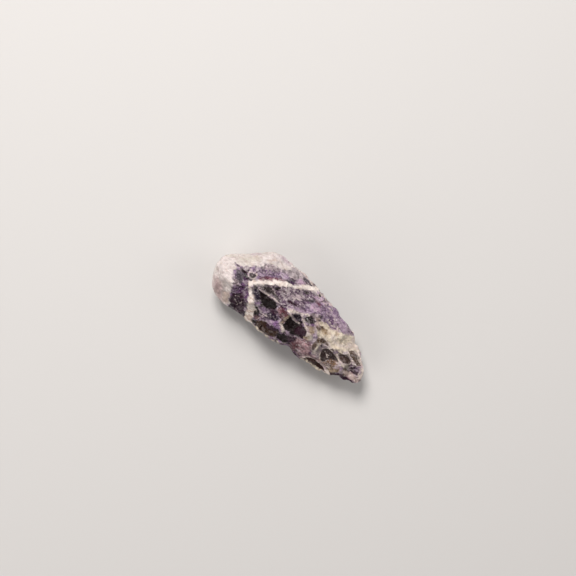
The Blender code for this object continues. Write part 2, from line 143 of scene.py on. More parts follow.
# Places on the upper side where one look holds: how soft the edge is, how far the place is sunk, how
# strong the bruised white rim round it is, and its corners. Each lies over the ones before it.
PATCHES = (
    ("slate", 0.4, 0.0, 0.0, (-26.8, -0.6), (-25.0, -0.1), (-22.9, -0.7), (-21.6, -2.3), (-22.0, -4.0),
     (-24.1, -3.9)),
    ("violet", 0.5, 0.0, 0.0, (-22.3, -1.7), (-21.0, -1.2), (-18.6, -2.8), (-17.8, -4.4), (-19.6, -5.0),
     (-21.4, -3.8)),
    ("black", 0.2, 0.0, 0.0, (-26.5, 0.8), (-25.4, 0.9), (-23.7, 0.4), (-21.0, -0.6), (-21.4, -1.1),
     (-23.9, -0.3)),
    ("dark maroon", 0.3, 0.0, 0.0, (-23.9, -4.8), (-22.8, -4.4), (-20.8, -4.6), (-21.3, -5.2),
     (-22.9, -5.5)),
    ("violet", 0.4, 0.0, 0.0, (-23.8, -6.3), (-21.6, -5.3), (-20.2, -4.8), (-18.9, -5.0), (-20.2, -6.4),
     (-22.0, -7.7)),
    ("dark maroon", 0.35, 0.0, 0.0, (-22.0, -8.2), (-20.4, -6.6), (-19.0, -5.4), (-17.5, -6.3),
     (-16.2, -7.8), (-15.9, -9.4), (-15.3, -11.3), (-16.6, -12.6), (-19.0, -12.2), (-21.4, -12.0),
     (-22.4, -10.3)),
    ("violet", 0.5, 0.0, 0.0, (-19.8, -5.5), (-18.7, -4.6), (-17.0, -5.5), (-16.0, -7.0), (-16.9, -7.9),
     (-18.7, -6.4)),
    ("dark maroon", 0.5, 0.0, 0.0, (-18.4, -11.6), (-17.3, -10.3), (-15.6, -9.8), (-14.7, -11.0),
     (-15.3, -12.3), (-17.0, -12.8)),
    ("green grey", 0.3, 0.5, 0.7, (-22.1, 1.1), (-21.3, 1.9), (-19.5, 2.1), (-19.3, 1.0), (-20.3, 0.1),
     (-21.6, 0.1)),
    ("white pepper", 0.6, 0.0, 0.0, (-20.8, 6.9), (-17.8, 8.6), (-14.4, 9.6), (-9.6, 11.0), (-6.4, 12.2),
     (-5.4, 11.0), (-9.4, 8.9), (-14.6, 7.4), (-18.6, 5.0), (-21.6, 3.6)),
    ("lavender", 0.6, 0.0, 0.0, (-21.0, 4.2), (-18.0, 6.2), (-14.5, 8.3), (-10.6, 9.6), (-9.6, 7.9),
     (-13.8, 5.9), (-17.9, 2.7), (-20.2, 3.0)),
    ("mauve", 0.4, 0.0, 0.0, (-18.6, 1.4), (-15.0, 4.4), (-11.6, 6.6), (-8.7, 7.1), (-12.4, 5.2),
     (-17.0, 1.2)),
    ("magenta", 0.3, 0.0, 0.0, (-18.2, 2.4), (-15.5, 4.7), (-12.9, 6.3), (-12.5, 5.7), (-14.9, 4.3),
     (-17.2, 2.0)),
    ("deep violet", 0.3, 0.0, 0.0, (-9.3, 7.8), (-7.8, 8.5), (-7.8, 9.4), (-6.1, 8.7), (-7.3, 7.7)),
    ("pink lavender", 0.5, 0.0, 0.0, (-7.3, 9.8), (-5.9, 11.2), (-3.8, 10.8), (-4.5, 9.6), (-6.0, 8.7)),
    ("slate", 0.3, 0.0, 0.0, (-5.9, 12.0), (-5.0, 12.5), (-0.9, 12.3), (-1.5, 11.7), (-4.9, 11.4)),
    ("pepper", 0.6, 0.0, 0.0, (-13.6, 1.9), (-7.6, 6.0), (-2.6, 8.6), (0.4, 6.3), (1.1, 3.2),
     (-5.3, -1.0), (-9.9, -0.4)),
    ("green grey", 0.4, 0.0, 0.0, (-16.2, -0.4), (-13.5, 2.0), (-12.1, 1.7), (-9.6, 1.1), (-9.0, 0.5),
     (-10.5, 0.0), (-12.8, -0.6), (-15.0, -1.0)),
    ("black", 0.3, 0.0, 0.0, (-12.2, 2.5), (-11.3, 3.3), (-10.1, 4.2), (-9.7, 3.8), (-10.1, 2.4),
     (-11.2, 2.2)),
    ("milk", 0.3, 0.0, 0.0, (-4.4, 4.0), (-3.4, 4.7), (-1.9, 5.2), (-2.3, 4.3), (-3.6, 3.8)),
    ("green grey", 0.3, 0.0, 0.0, (-3.0, 8.7), (-1.1, 9.3), (-0.5, 8.6), (-1.1, 7.6), (-2.1, 8.0)),
    ("plum", 0.3, 0.0, 0.0, (-5.4, 2.5), (-3.1, 2.7), (-1.4, 3.2), (-1.4, 2.3), (-3.5, 1.7), (-5.1, 1.7)),
    ("pink lavender", 0.5, 0.0, 0.0, (0.4, 8.6), (1.7, 9.8), (3.2, 10.4), (5.5, 9.7), (4.7, 9.0),
     (2.5, 8.5)),
    ("lavender", 0.5, 0.0, 0.0, (0.1, 5.1), (2.1, 6.9), (4.1, 8.5), (7.1, 7.8), (8.1, 5.2), (5.9, 5.0),
     (3.5, 3.8), (1.1, 3.6)),
    ("pale lavender", 0.5, 0.0, 0.0, (-3.9, 0.2), (-2.6, 1.5), (-0.4, 2.5), (3.0, 3.6), (4.2, 3.7),
     (1.2, 1.5), (-1.1, -0.1), (-2.7, -0.8)),
    ("pink lavender", 0.6, 0.0, 0.0, (2.2, 6.2), (3.9, 7.0), (6.3, 7.3), (6.9, 6.0), (4.8, 5.2),
     (2.6, 5.0)),
    ("magenta", 0.3, 0.0, 0.0, (2.3, 8.5), (3.5, 8.5), (5.6, 7.9), (5.4, 7.3), (3.7, 7.9)),
    ("slate", 0.4, 0.0, 0.0, (0.3, 7.0), (2.0, 8.2), (2.7, 7.5), (1.7, 6.5)),
    ("navy", 0.4, 0.0, 0.0, (-18.0, -1.9), (-17.2, -1.5), (-15.4, -1.6), (-13.2, -2.9), (-12.2, -5.2),
     (-14.0, -5.6), (-15.4, -4.6), (-16.6, -3.4)),
    ("lavender", 0.4, 0.0, 0.0, (-14.4, -5.3), (-13.0, -4.4), (-11.6, -4.8), (-12.3, -5.9),
     (-13.7, -6.3)),
    ("lavender", 0.4, 0.0, 0.0, (-12.0, -6.5), (-10.7, -5.2), (-8.0, -4.5), (-7.4, -5.5), (-8.8, -7.5),
     (-10.4, -7.3)),
    ("navy", 0.4, 0.0, 0.0, (-9.2, -7.0), (-7.3, -5.3), (-5.6, -4.2), (-3.0, -5.2), (-3.8, -6.9),
     (-6.1, -7.7), (-7.8, -8.0)),
    ("brown rose", 0.4, 0.0, 0.0, (-11.6, -9.8), (-9.5, -8.7), (-8.5, -9.7), (-9.7, -10.4)),
    ("black", 0.25, 0.0, 0.0, (-13.5, -6.4), (-12.2, -6.8), (-10.4, -7.2), (-9.9, -9.0), (-11.8, -8.9)),
    ("black", 0.2, 0.0, 0.0, (-10.8, -12.2), (-10.6, -11.2), (-9.3, -10.9), (-8.9, -11.8), (-9.9, -12.5)),
    ("rose", 0.5, 0.0, 0.0, (-6.7, -2.7), (-5.9, -1.3), (-4.3, -1.0), (-2.1, -1.3), (-1.6, -2.7),
     (-2.9, -4.4), (-4.8, -4.2)),
    ("dark maroon", 0.3, 0.0, 0.0, (-6.6, -1.3), (-5.8, -0.7), (-4.3, -0.8), (-4.8, -1.5)),
    ("tan", 0.4, 0.0, 0.0, (-1.9, -1.6), (-1.0, -1.3), (-1.1, -3.7), (-1.2, -5.8), (-2.5, -6.1),
     (-2.2, -3.6)),
    ("milk", 0.3, 0.0, 0.0, (-2.4, -6.1), (-0.8, -5.9), (0.6, -6.4), (1.8, -7.5), (0.6, -8.3),
     (-0.9, -8.0)),
    ("bright violet", 0.4, 0.0, 0.0, (-5.5, -7.9), (-2.9, -6.0), (-1.2, -7.0), (-0.9, -8.3), (-2.6, -9.0),
     (-4.4, -8.7)),
    ("olive", 0.2, 0.0, 0.0, (-9.4, -10.8), (-8.2, -9.4), (-6.2, -9.0), (-3.5, -8.8), (-0.6, -9.0),
     (-0.4, -11.2), (-2.0, -12.2), (-4.1, -12.8), (-6.7, -12.7), (-8.7, -12.4)),
    ("dark maroon", 0.3, 0.0, 0.0, (-6.2, -9.4), (-5.1, -8.8), (-3.4, -8.9), (-0.9, -8.7), (-1.8, -9.6),
     (-4.7, -10.4)),
    ("black", 0.15, 0.3, 0.0, (-0.7, -9.6), (1.4, -8.2), (3.5, -8.0), (4.8, -9.4), (3.4, -10.8),
     (1.2, -11.3), (0.1, -11.2)),
    ("dark maroon", 0.4, 0.0, 0.0, (2.6, -8.2), (4.2, -7.4), (6.4, -7.2), (6.7, -8.8), (5.1, -10.6)),
    ("mauve", 0.5, 0.0, 0.0, (5.7, -6.5), (8.2, -4.9), (9.9, -4.6), (12.2, -6.0), (12.6, -8.4),
     (9.4, -9.6), (6.6, -8.4)),
    ("brown rose", 0.4, 0.0, 0.0, (4.8, -10.2), (5.7, -8.3), (7.4, -7.7), (9.0, -9.4), (7.2, -11.4)),
    ("grey milk", 0.5, 0.0, 0.0, (7.4, -4.2), (8.1, -2.5), (9.9, -2.1), (11.1, -3.5), (9.4, -4.8)),
    ("black", 0.15, 0.6, 0.0, (-15.7, -1.6), (-13.8, -1.5), (-11.8, -1.2), (-9.8, -1.1), (-8.0, -1.1),
     (-6.9, -1.8), (-6.5, -3.6), (-7.9, -4.5), (-9.9, -5.1), (-11.9, -4.5), (-14.0, -3.0)),
    ("black", 0.12, 0.6, 0.0, (-1.1, -1.8), (0.4, -2.4), (1.8, -2.4), (3.6, -2.0), (5.2, -1.7),
     (7.1, -2.3), (7.7, -3.6), (7.8, -5.4), (6.0, -5.8), (3.3, -6.9), (2.7, -6.5), (0.9, -7.0),
     (-1.0, -6.2)),
    ("plum", 0.4, 0.0, 0.0, (3.8, -2.5), (5.2, -2.2), (6.8, -2.6), (7.4, -3.7), (7.4, -5.1), (6.0, -5.4),
     (4.2, -6.0), (3.4, -4.6)),
    ("navy", 0.15, 0.3, 0.0, (-1.2, -0.8), (0.3, 0.3), (2.1, 0.7), (3.8, -1.1), (3.5, -1.6), (1.7, -1.4),
     (0.2, -1.2)),
    ("green grey", 0.25, 0.3, 0.0, (3.5, 0.8), (4.1, 2.2), (5.6, 2.6), (7.3, 2.4), (7.9, 1.7), (6.7, 0.8),
     (5.6, 0.0), (4.0, 0.1)),
    ("pale pepper", 0.6, 0.0, 0.0, (4.2, 3.7), (7.0, 5.3), (8.7, 3.8), (7.8, 2.7), (6.0, 2.8)),
    ("tan", 0.6, 0.0, 0.0, (6.3, -0.8), (8.1, 0.7), (9.8, -0.7), (9.2, -2.2), (7.8, -2.2)),
    ("lavender", 0.5, 0.0, 0.0, (8.4, 5.2), (9.4, 7.4), (13.2, 6.9), (15.4, 5.3), (14.6, 4.0),
     (12.6, 4.3)),
    ("pale lavender", 0.5, 0.0, 0.0, (6.9, 9.6), (9.6, 10.6), (13.0, 9.8), (18.1, 8.7), (21.0, 7.0),
     (18.7, 5.3), (15.8, 5.8), (12.8, 7.4), (9.0, 8.0)),
    ("cream", 0.5, 0.0, 0.0, (8.0, 3.6), (11.2, 4.3), (13.6, 3.6), (17.0, 4.9), (20.9, 6.5), (24.1, 5.3),
     (27.2, 3.7), (23.4, 1.9), (21.1, -1.1), (17.6, -1.1), (14.7, 0.1), (11.2, -1.4), (9.4, 0.6)),
    ("brown", 0.3, 0.0, 0.0, (8.3, 1.8), (9.0, 2.3), (11.0, 2.7), (12.9, 2.2), (12.5, 1.5), (11.2, 1.4),
     (10.4, 0.5), (9.2, 0.8)),
    ("ochre", 0.5, 0.0, 0.0, (10.9, 1.6), (12.4, 2.5), (14.2, 2.1), (13.7, 0.9), (12.0, 0.6)),
    ("ochre", 0.4, 0.0, 0.0, (15.2, 3.6), (16.6, 4.6), (17.0, 3.8), (16.0, 3.1)),
    ("grey brown", 0.25, 0.3, 0.3, (12.1, -1.5), (13.2, -0.4), (15.6, -0.8), (17.4, -1.5), (16.1, -1.9),
     (14.5, -2.1), (13.3, -2.6), (13.4, -3.8), (13.4, -6.3), (12.7, -6.7), (11.5, -4.5), (11.8, -2.6)),
    ("grey milk", 0.3, 0.0, 0.0, (13.1, -3.4), (14.7, -2.8), (16.8, -2.0), (15.5, -3.6), (15.4, -6.1),
     (14.4, -5.5)),
    ("smoky", 0.12, 0.6, 0.6, (15.5, -4.5), (15.8, -3.6), (17.2, -2.3), (19.0, -2.5), (21.0, -2.8),
     (22.5, -3.3), (23.7, -4.2), (20.7, -4.9), (19.4, -6.0), (19.0, -7.4), (17.7, -7.4), (16.5, -6.4)),
    ("brown grain", 0.3, 0.0, 0.0, (19.0, -7.4), (19.4, -6.0), (20.7, -4.9), (22.5, -4.1), (23.8, -4.4),
     (23.5, -5.8), (22.7, -7.4), (20.9, -7.7)),
    ("tan", 0.5, 0.0, 0.0, (21.6, -8.3), (23.4, -6.9), (24.9, -5.3), (25.9, -6.3), (23.8, -9.0)),
    ("grey glass", 0.15, 0.5, 0.5, (21.2, -1.8), (23.3, 0.1), (25.3, -0.3), (26.9, -0.9), (26.7, -2.0),
     (25.0, -3.1), (23.0, -3.1)),
    ("grey brown", 0.2, 0.5, 0.4, (23.2, 1.8), (25.1, 2.7), (27.2, 2.4), (30.5, 0.8), (30.8, -0.2),
     (29.1, -0.8), (26.8, -0.1), (24.5, 0.7)),
    ("dusky violet", 0.2, 0.4, 0.3, (27.4, -3.2), (29.0, -1.5), (31.0, -1.4), (32.0, -3.5), (30.4, -4.0),
     (28.6, -3.8)),
    ("pale rose", 0.4, 0.0, 0.0, (25.8, -5.0), (27.9, -4.6), (29.7, -4.3), (32.6, -3.9), (33.4, -2.4),
     (34.0, -4.4), (32.3, -6.0), (29.0, -5.6), (26.6, -5.8)),
    ("dark maroon", 0.4, 0.0, 0.0, (26.4, -7.4), (28.9, -6.2), (31.4, -5.9), (32.6, -6.8), (30.8, -8.2)),
    ("mauve", 0.4, 0.0, 0.0, (9.0, -10.4), (11.4, -8.8), (14.6, -7.4), (17.6, -7.7), (20.8, -8.4),
     (19.0, -8.8), (15.2, -8.7), (12.2, -10.2), (10.2, -11.6)),
    ("lens brown", 0.2, 1.0, 0.7, (12.0, -10.6), (14.4, -8.9), (16.2, -8.5), (18.0, -8.6), (20.1, -8.8),
     (22.1, -9.7), (20.3, -10.6), (17.5, -11.0), (14.9, -11.3)),
    ("violet", 0.4, 0.0, 0.0, (10.9, 5.9), (12.4, 6.9), (15.2, 5.4), (14.6, 4.1), (12.6, 4.5)),
    ("black", 0.2, 0.0, 0.0, (2.7, -1.1), (3.4, -0.6), (4.0, -0.9), (3.7, -1.6), (3.1, -1.5)),
    ("pale lavender", 0.3, 0.0, 0.0, (0.9, -7.0), (2.3, -6.4), (3.2, -7.5), (2.5, -7.8), (1.4, -7.7)),
    ("tan", 0.4, 0.0, 0.0, (7.5, -4.6), (8.4, -3.0), (9.4, -3.1), (9.4, -4.5), (8.4, -5.2)),
    ("milk", 0.35, 0.0, 0.0, (-3.3, -0.8), (-2.3, 0.6), (0.6, 1.3), (4.2, 3.2), (4.5, 2.6), (2.2, 1.3),
     (0.2, 0.5), (-1.4, -0.9), (-2.6, -1.1)),
    ("milk", 0.3, 0.0, 0.0, (1.9, 1.1), (2.5, 1.4), (4.0, 0.1), (5.9, -0.8), (7.1, -1.4), (6.8, -2.0),
     (5.3, -1.5), (3.9, -0.5)),
    ("cream", 0.25, 0.0, 0.0, (-9.2, -12.5), (-7.5, -12.7), (-5.4, -12.8), (-1.8, -12.8), (0.4, -12.4),
     (2.7, -11.4), (2.5, -12.4), (-0.1, -13.6), (-5.8, -13.8), (-9.0, -13.6)),
    ("cream", 0.25, 0.0, 0.0, (11.1, -11.1), (13.4, -10.9), (17.0, -10.6), (20.4, -10.2), (23.4, -9.8),
     (23.2, -10.9), (19.9, -11.6), (15.7, -12.2), (11.9, -12.4)),
    ("dark maroon", 0.35, 0.0, 0.0, (22.9, -9.1), (25.2, -7.8), (26.5, -6.4), (28.4, -6.6), (31.0, -6.4),
     (31.0, -7.4), (27.3, -8.6), (24.3, -10.3)),
    ("milk", 0.35, 0.0, 0.0, (30.7, -0.6), (31.9, 0.6), (33.9, -0.7), (34.0, -2.7), (32.7, -4.2),
     (31.9, -3.7), (32.0, -2.1)),
    ("milk", 0.4, 0.0, 0.0, (20.9, 6.9), (22.8, 5.9), (25.5, 4.7), (27.7, 3.7), (29.9, 2.2), (31.7, 1.0),
     (31.2, 0.3), (28.6, 1.6), (26.6, 2.9), (24.5, 4.0), (21.9, 5.2)),
    ("milk", 0.6, 0.0, 0.0, (15.1, 1.7), (17.6, 3.9), (20.6, 5.1), (22.9, 4.4), (24.6, 3.3), (22.4, 1.6),
     (19.5, 0.6), (17.1, 0.4)),
    ("pale pepper", 0.3, 0.0, 0.0, (14.3, -2.8), (15.2, -1.9), (16.7, -1.6), (16.9, -2.5), (15.8, -3.6),
     (15.3, -5.6), (14.2, -4.8)),
    ("black", 0.15, 0.0, 0.0, (14.2, -3.3), (14.3, -2.8), (14.9, -3.0), (14.9, -3.6)),
    ("pale rose", 0.4, 0.0, 0.0, (6.0, 3.4), (7.6, 4.2), (9.0, 3.0), (9.4, 1.6), (8.1, 1.6), (7.3, 2.6)),
    # This cream is painted lighter to cancel the shade on a facet of the relief that faces away from the
    # key light
    ("bright cream", 0.9, 0.0, 0.0, (16.6, 2.0), (17.6, 4.2), (19.8, 5.2), (22.0, 4.4), (21.4, 2.4),
     (19.0, 1.4)),
    ("pale pepper", 0.5, 0.0, 0.0, (-25.5, -4.1), (-24.6, -3.1), (-22.9, -3.9), (-22.8, -5.3),
     (-23.9, -5.7)),
    ("dark maroon", 0.3, 0.0, 0.0, (-8.4, -4.2), (-6.3, -3.4), (-4.8, -3.4), (-5.5, -5.0), (-7.4, -5.2)),
    ("grey milk", 0.3, 0.0, 0.0, (24.5, -3.8), (26.4, -2.7), (27.6, -3.1), (27.7, -3.7), (26.1, -4.4),
     (24.6, -4.7)),
    ("pale pepper", 0.6, 0.0, 0.0, (-5.0, 4.6), (-3.4, 6.3), (-1.4, 6.4), (-2.2, 5.0), (-3.9, 4.1)),
    ("pale lavender", 0.4, 0.0, 0.0, (4.6, 9.2), (6.2, 10.0), (8.2, 9.6), (7.8, 8.6), (5.8, 8.4)),
    ("green grey", 0.4, 0.0, 0.0, (-9.9, 0.4), (-8.7, 0.9), (-7.4, 0.3), (-7.6, -0.5), (-9.0, -0.5)),
    ("deep violet", 0.2, 0.0, 0.0, (29.2, -1.7), (30.7, -1.4), (31.0, -2.0), (30.1, -2.5)),
    ("lavender", 0.4, 0.0, 0.0, (6.5, 10.5), (9.6, 11.2), (13.4, 10.2), (16.4, 9.0), (16.0, 8.2),
     (12.1, 8.6), (8.7, 9.0)),
    ("brown rose", 0.4, 0.0, 0.0, (-4.1, -2.8), (-2.9, -1.7), (-2.3, -2.1), (-2.2, -3.6), (-2.8, -4.6),
     (-3.8, -4.1)),
)

# Stains on the milky skin, and painted shade on its -Y side: look, how soft the edge is, how strong it
# is, and its corners
STAINS_AND_SHADE = (
    ("green milk", 1.5, 0.7, (-29.1, 3.2), (-26.3, 5.6), (-22.8, 7.8), (-21.5, 6.9), (-24.7, 3.6),
     (-27.6, 2.0)),
    ("green milk", 0.6, 0.5, (-33.4, 0.4), (-30.8, 3.0), (-29.4, 2.7), (-31.6, 0.6)),
    ("violet milk", 0.5, 0.9, (-27.3, 6.4), (-25.8, 7.9), (-23.3, 9.3), (-23.4, 8.3), (-25.9, 6.4)),
    # Painted shade: the skin darker and mauve on its -Y side, away from the key light
    ("mauve milk", 1.6, 0.9, (-31.6, -8.0), (-27.8, -7.5), (-25.6, -10.3), (-24.0, -13.6),
     (-28.5, -12.4)),
    ("tan milk", 0.7, 0.6, (-25.4, -10.3), (-23.0, -8.5), (-21.6, -12.4), (-23.5, -13.3)),
    # Painted shade again, weaker, on the -Y side of the skin
    ("mauve milk", 1.4, 0.15, (-32.4, -4.4), (-28.8, -3.7), (-25.3, -5.0), (-26.3, -7.5), (-28.9, -7.9)),
    ("violet milk", 0.8, 0.7, (-17.6, 12.5), (-16.3, 13.8), (-12.6, 13.2), (-12.4, 12.1), (-14.8, 12.0)),
    ("tan milk", 0.35, 0.5, (-20.2, 8.9), (-19.0, 9.6), (-18.1, 10.7), (-16.8, 10.8), (-18.6, 9.3)),
    ("white milk", 0.3, 0.8, (-20.7, 7.8), (-18.7, 8.9), (-17.2, 9.6), (-15.4, 10.0), (-15.1, 9.6),
     (-17.2, 8.7)),
)

# Places where the crystal breaks through the skin, listed as the places above are
SKIN_BREAKS = (
    ("pale pepper", 0.5, 0.0, 0.0, (-20.1, 7.1), (-18.0, 8.4), (-16.0, 9.0), (-14.5, 8.9), (-14.2, 8.1),
     (-16.3, 6.8), (-18.3, 6.2)),
    ("white pepper", 0.5, 0.0, 0.0, (-11.5, 10.4), (-10.9, 12.2), (-9.4, 13.3), (-7.4, 14.0),
     (-4.2, 13.8), (-1.7, 13.2), (-1.5, 12.7), (-5.2, 12.7), (-6.2, 12.0), (-6.2, 11.2), (-8.0, 9.6),
     (-10.0, 9.0)),
    ("dusky violet", 0.2, 0.0, 0.0, (-28.6, 0.6), (-27.4, 0.8), (-26.2, 0.9), (-25.4, 0.6), (-27.0, 0.3)),
    ("white pepper", 0.4, 0.0, 0.0, (-25.0, 1.2), (-24.0, 2.7), (-22.6, 2.5), (-23.0, 1.4), (-24.1, 0.9)),
)

# The two arms of the first milky line on the upper side: how soft the edge of each is, and its
# corners
MILK_ARMS = (
    (0.3, (-20.3, -1.0), (-19.9, -2.1), (-19.1, -3.2), (-17.6, -4.9), (-16.2, -7.0), (-15.2, -8.6),
     (-14.4, -10.1), (-13.9, -11.5), (-13.9, -13.6), (-10.0, -13.6), (-10.6, -12.1), (-11.1, -11.0),
     (-11.3, -10.0), (-11.8, -9.0), (-12.2, -7.9), (-13.2, -6.9), (-14.4, -5.5), (-15.9, -4.1),
     (-17.1, -3.5), (-18.2, -2.8), (-18.5, -1.5), (-18.0, -0.6), (-19.0, 0.2)),
    (0.35, (-19.8, -1.0), (-18.9, 0.0), (-16.6, 1.9), (-14.5, 3.6), (-13.0, 5.2), (-11.0, 5.9),
     (-9.2, 7.1), (-7.1, 7.5), (-5.9, 8.3), (-4.1, 10.1), (-2.7, 10.9), (-0.5, 11.8), (1.2, 12.8),
     (1.2, 11.2), (0.4, 10.4), (-1.0, 9.7), (-2.5, 9.2), (-4.3, 8.0), (-5.7, 7.0), (-7.0, 6.5),
     (-8.1, 5.8), (-10.1, 4.7), (-11.7, 3.6), (-13.5, 2.4), (-15.6, 0.8), (-17.8, -0.8)),
)

# Bruised white cracks of the upper side: the half width, then the points that each runs through
CRACKS = (
    (0.20, (-16.0, -1.1), (-14.3, -1.1), (-12.7, -0.9), (-10.9, -0.6), (-9.0, -0.6), (-7.2, -0.6)),
    (0.16, (-12.8, 2.2), (-11.4, 1.6), (-10.0, 1.1)),
    (0.34, (-1.2, -1.2), (0.1, -1.6), (1.5, -1.9), (3.1, -1.8)),
    (0.22, (2.5, 0.7), (4.2, -0.8), (6.4, -1.6), (7.6, -2.6)),
    (0.09, (16.8, -4.0), (17.9, -4.4), (19.0, -5.3)),
    (0.08, (18.0, -4.4), (18.9, -4.3)),
    (0.24, (18.9, -1.3), (21.4, -2.2), (23.4, -3.5), (25.6, -3.9)),
    (0.28, (23.6, 0.9), (26.1, -0.1), (28.1, -1.2)),
    (0.07, (-20.6, -9.6), (-19.3, -9.9), (-18.4, -10.6)),
    (0.08, (-18.2, -9.9), (-17.7, -9.0)),
    (0.07, (-20.9, -8.4), (-19.5, -8.0)),
    (0.14, (-11.8, -6.6), (-10.2, -7.3), (-8.8, -7.5), (-7.4, -7.2)),
    (0.12, (-9.6, -10.4), (-9.2, -9.2), (-8.9, -8.0)),
    (0.22, (-22.6, 2.5), (-21.2, 2.3), (-19.8, 2.5)),
    (0.22, (10.7, 5.9), (12.7, 4.9), (15.3, 5.1)),
    (0.20, (12.1, 7.2), (14.6, 5.9), (16.6, 5.6)),
    (0.30, (-9.6, 13.0), (-7.7, 13.2), (-5.8, 13.1), (-3.8, 12.7), (-1.9, 12.3), (0.9, 11.7), (3.7, 11.3),
     (6.9, 10.7), (9.0, 10.5)),
    (0.16, (0.8, 10.7), (3.8, 10.1), (6.8, 9.5), (9.9, 8.9)),
)

# Looks of each growth band where no patch holds: the layer that it ends at, then the looks that its
# chips may have
BANDS = (
    (-22.6, "violet", "lavender", "slate", "dark maroon", "pale pepper"),
    (-13.0, "pepper", "green grey", "navy", "pale lavender", "pepper"),
    (-4.6, "pepper", "lavender", "navy", "violet", "pink lavender"),
    (4.5, "plum", "pepper", "dark maroon", "lavender", "violet"),
    (9.5, "mauve", "lavender", "deep violet", "pale lavender", "pale pepper"),
    (16.0, "cream", "tan", "cream", "pale pepper", "milk"),
    (25.0, "grey brown", "cream", "lavender", "pale pepper", "grey glass"),
    (99.0, "violet", "pink lavender", "dusky violet", "mauve", "pale pepper"),
)


def smooth(value, start, end):
    """0 before start and 1 after end, with a smooth rise between them."""
    share = min(1.0, max(0.0, (value - start) / (end - start)))
    return share * share * (3.0 - 2.0 * share)


def layer_at(point):
    """Distance along the crystal's axis of the growth layer through a point."""
    across = point.y - AXIS_Y
    up = point.z - AXIS_Z
    return point.x - max(lean_y * across + lean_z * up for lean_y, lean_z in GROWTH_FACES)


def skin_at(point):
    """1 on the milky skin over the blunt end, 0 on broken crystal."""
    across = max(0.0, point.y - AXIS_Y)
    lean = SKIN_LEAN * min(across, SKIN_RIM) - SKIN_RIM_LEAN * max(0.0, across - SKIN_RIM)
    wander = SKIN_WANDER * noise.noise(point / SKIN_WANDER_SIZE)
    wander += SKIN_FRAY * noise.noise(point / SKIN_FRAY_SIZE)
    layer = layer_at(point) + lean + wander
    return 1.0 - smooth(layer, SKIN_LAYER - SKIN_EDGE, SKIN_LAYER + SKIN_EDGE)


def line_at(point, upper):
    """1 on a milky line between two growth bands, 0 beside it and on the upper side."""
    layer = layer_at(point) + LINE_WANDER * noise.noise(point / LINE_WANDER_SIZE)
    layer += LINE_WANDER * noise.noise(point / LINE_FRAY_SIZE)
    side = point.y - AXIS_Y
    spread = 1.0 + LINE_SPREAD * smooth(-side, LINE_SPREAD_START, LINE_SPREAD_END)
    share = 0.0
    for line, left_width, right_width in MILK_LINES:
        half = (left_width if side > 0.0 else right_width) * spread
        share = max(share, 1.0 - smooth(abs(layer - line), half * 0.6, half * 1.3))
    return share * (1.0 - upper)


def stretch_distance(x, y, start, end):
    """Distance in the plan from the straight stretch between two points."""
    from_x = x - start[0]
    from_y = y - start[1]
    run_x = end[0] - start[0]
    run_y = end[1] - start[1]
    along = (from_x * run_x + from_y * run_y) / (run_x * run_x + run_y * run_y)
    along = min(1.0, max(0.0, along))
    return math.hypot(from_x - along * run_x, from_y - along * run_y)


def edge_distance(x, y, corners):
    """Distance in the plan from a place's edge, negative inside it."""
    nearest = math.inf
    inside = False
    for start, end in zip(corners, corners[1:] + corners[:1]):
        nearest = min(nearest, stretch_distance(x, y, start, end))
        if (start[1] > y) != (end[1] > y):
            rise_share = (y - start[1]) / (end[1] - start[1])
            if x < start[0] + (end[0] - start[0]) * rise_share:
                inside = not inside
    return -nearest if inside else nearest


def path_distance(x, y, points):
    """Distance in the plan from the nearest stretch of a crack."""
    return min(stretch_distance(x, y, start, end) for start, end in zip(points, points[1:]))


def reach_box(corners, margin):
    """Box in the plan round a patch or a crack, to skip the points that it can't touch."""
    xs = [corner[0] for corner in corners]
    ys = [corner[1] for corner in corners]
    return min(xs) - margin, max(xs) + margin, min(ys) - margin, max(ys) + margin


# How far from its outline a place, an arm or a crack can change the stone, and how far the stains and the
# painted shade can
REACH = 1.0
STAIN_AND_SHADE_REACH = 1.7
patches = [(*patch[:4], patch[4:], reach_box(patch[4:], REACH)) for patch in PATCHES]
breaks = [(*patch[:4], patch[4:], reach_box(patch[4:], REACH)) for patch in SKIN_BREAKS]
stains_and_shade = [(*stain[:3], stain[3:], reach_box(stain[3:], STAIN_AND_SHADE_REACH)) for stain in STAINS_AND_SHADE]
arms = [(arm[0], arm[1:], reach_box(arm[1:], REACH)) for arm in MILK_ARMS]
cracks = [(crack[0], crack[1:], reach_box(crack[1:], REACH)) for crack in CRACKS]


# Each use of chance has a number of its own, so that a chip's look, tone and tilt don't go together
LOOK_CHANCE = 13.0
TONE_CHANCE = 17.0
TILT_CHANCE = 11.0
GRAIN_CHANCE = 7.0


def chance_of(centre, use):
    """A chance number from 0 to 1, the same for every point of one chip or splinter."""
    return 0.5 + 0.5 * noise.cell(centre * use)


def band_look(centre):
    """The look of a chip that no patch covers, by its growth band and its own chance."""
    layer = layer_at(centre)
    chance = chance_of(centre, LOOK_CHANCE)
    for end, *names in BANDS:
        if layer < end:
            return LOOKS[names[min(len(names) - 1, int(chance * len(names)))]]


chip_looks = {}


def chip_look(centre):
    """The look of a chip, worked out once for each chip."""
    key = (round(centre.x, 2), round(centre.y, 2), round(centre.z, 2))
    if key not in chip_looks:
        chip_looks[key] = band_look(centre)
    return chip_looks[key]


def tilted(point, centre):
    """Height at a point of the tilted plane of the chip that it lies in."""
    lean = noise.cell_vector(centre * TILT_CHANCE) * 2.0 - Vector((1.0, 1.0, 1.0))
    return lean.dot(point - centre)


def splinter_at(point):
    """Middle of the splinter that a point lies in: a grain drawn out along the crystal."""
    gaps, centres = noise.voronoi(Vector((point.x * SPLINTER, point.y, point.z)) / GRAIN)
    centre = centres[0] * GRAIN
    return Vector((centre.x / SPLINTER, centre.y, centre.z)), gaps[0]


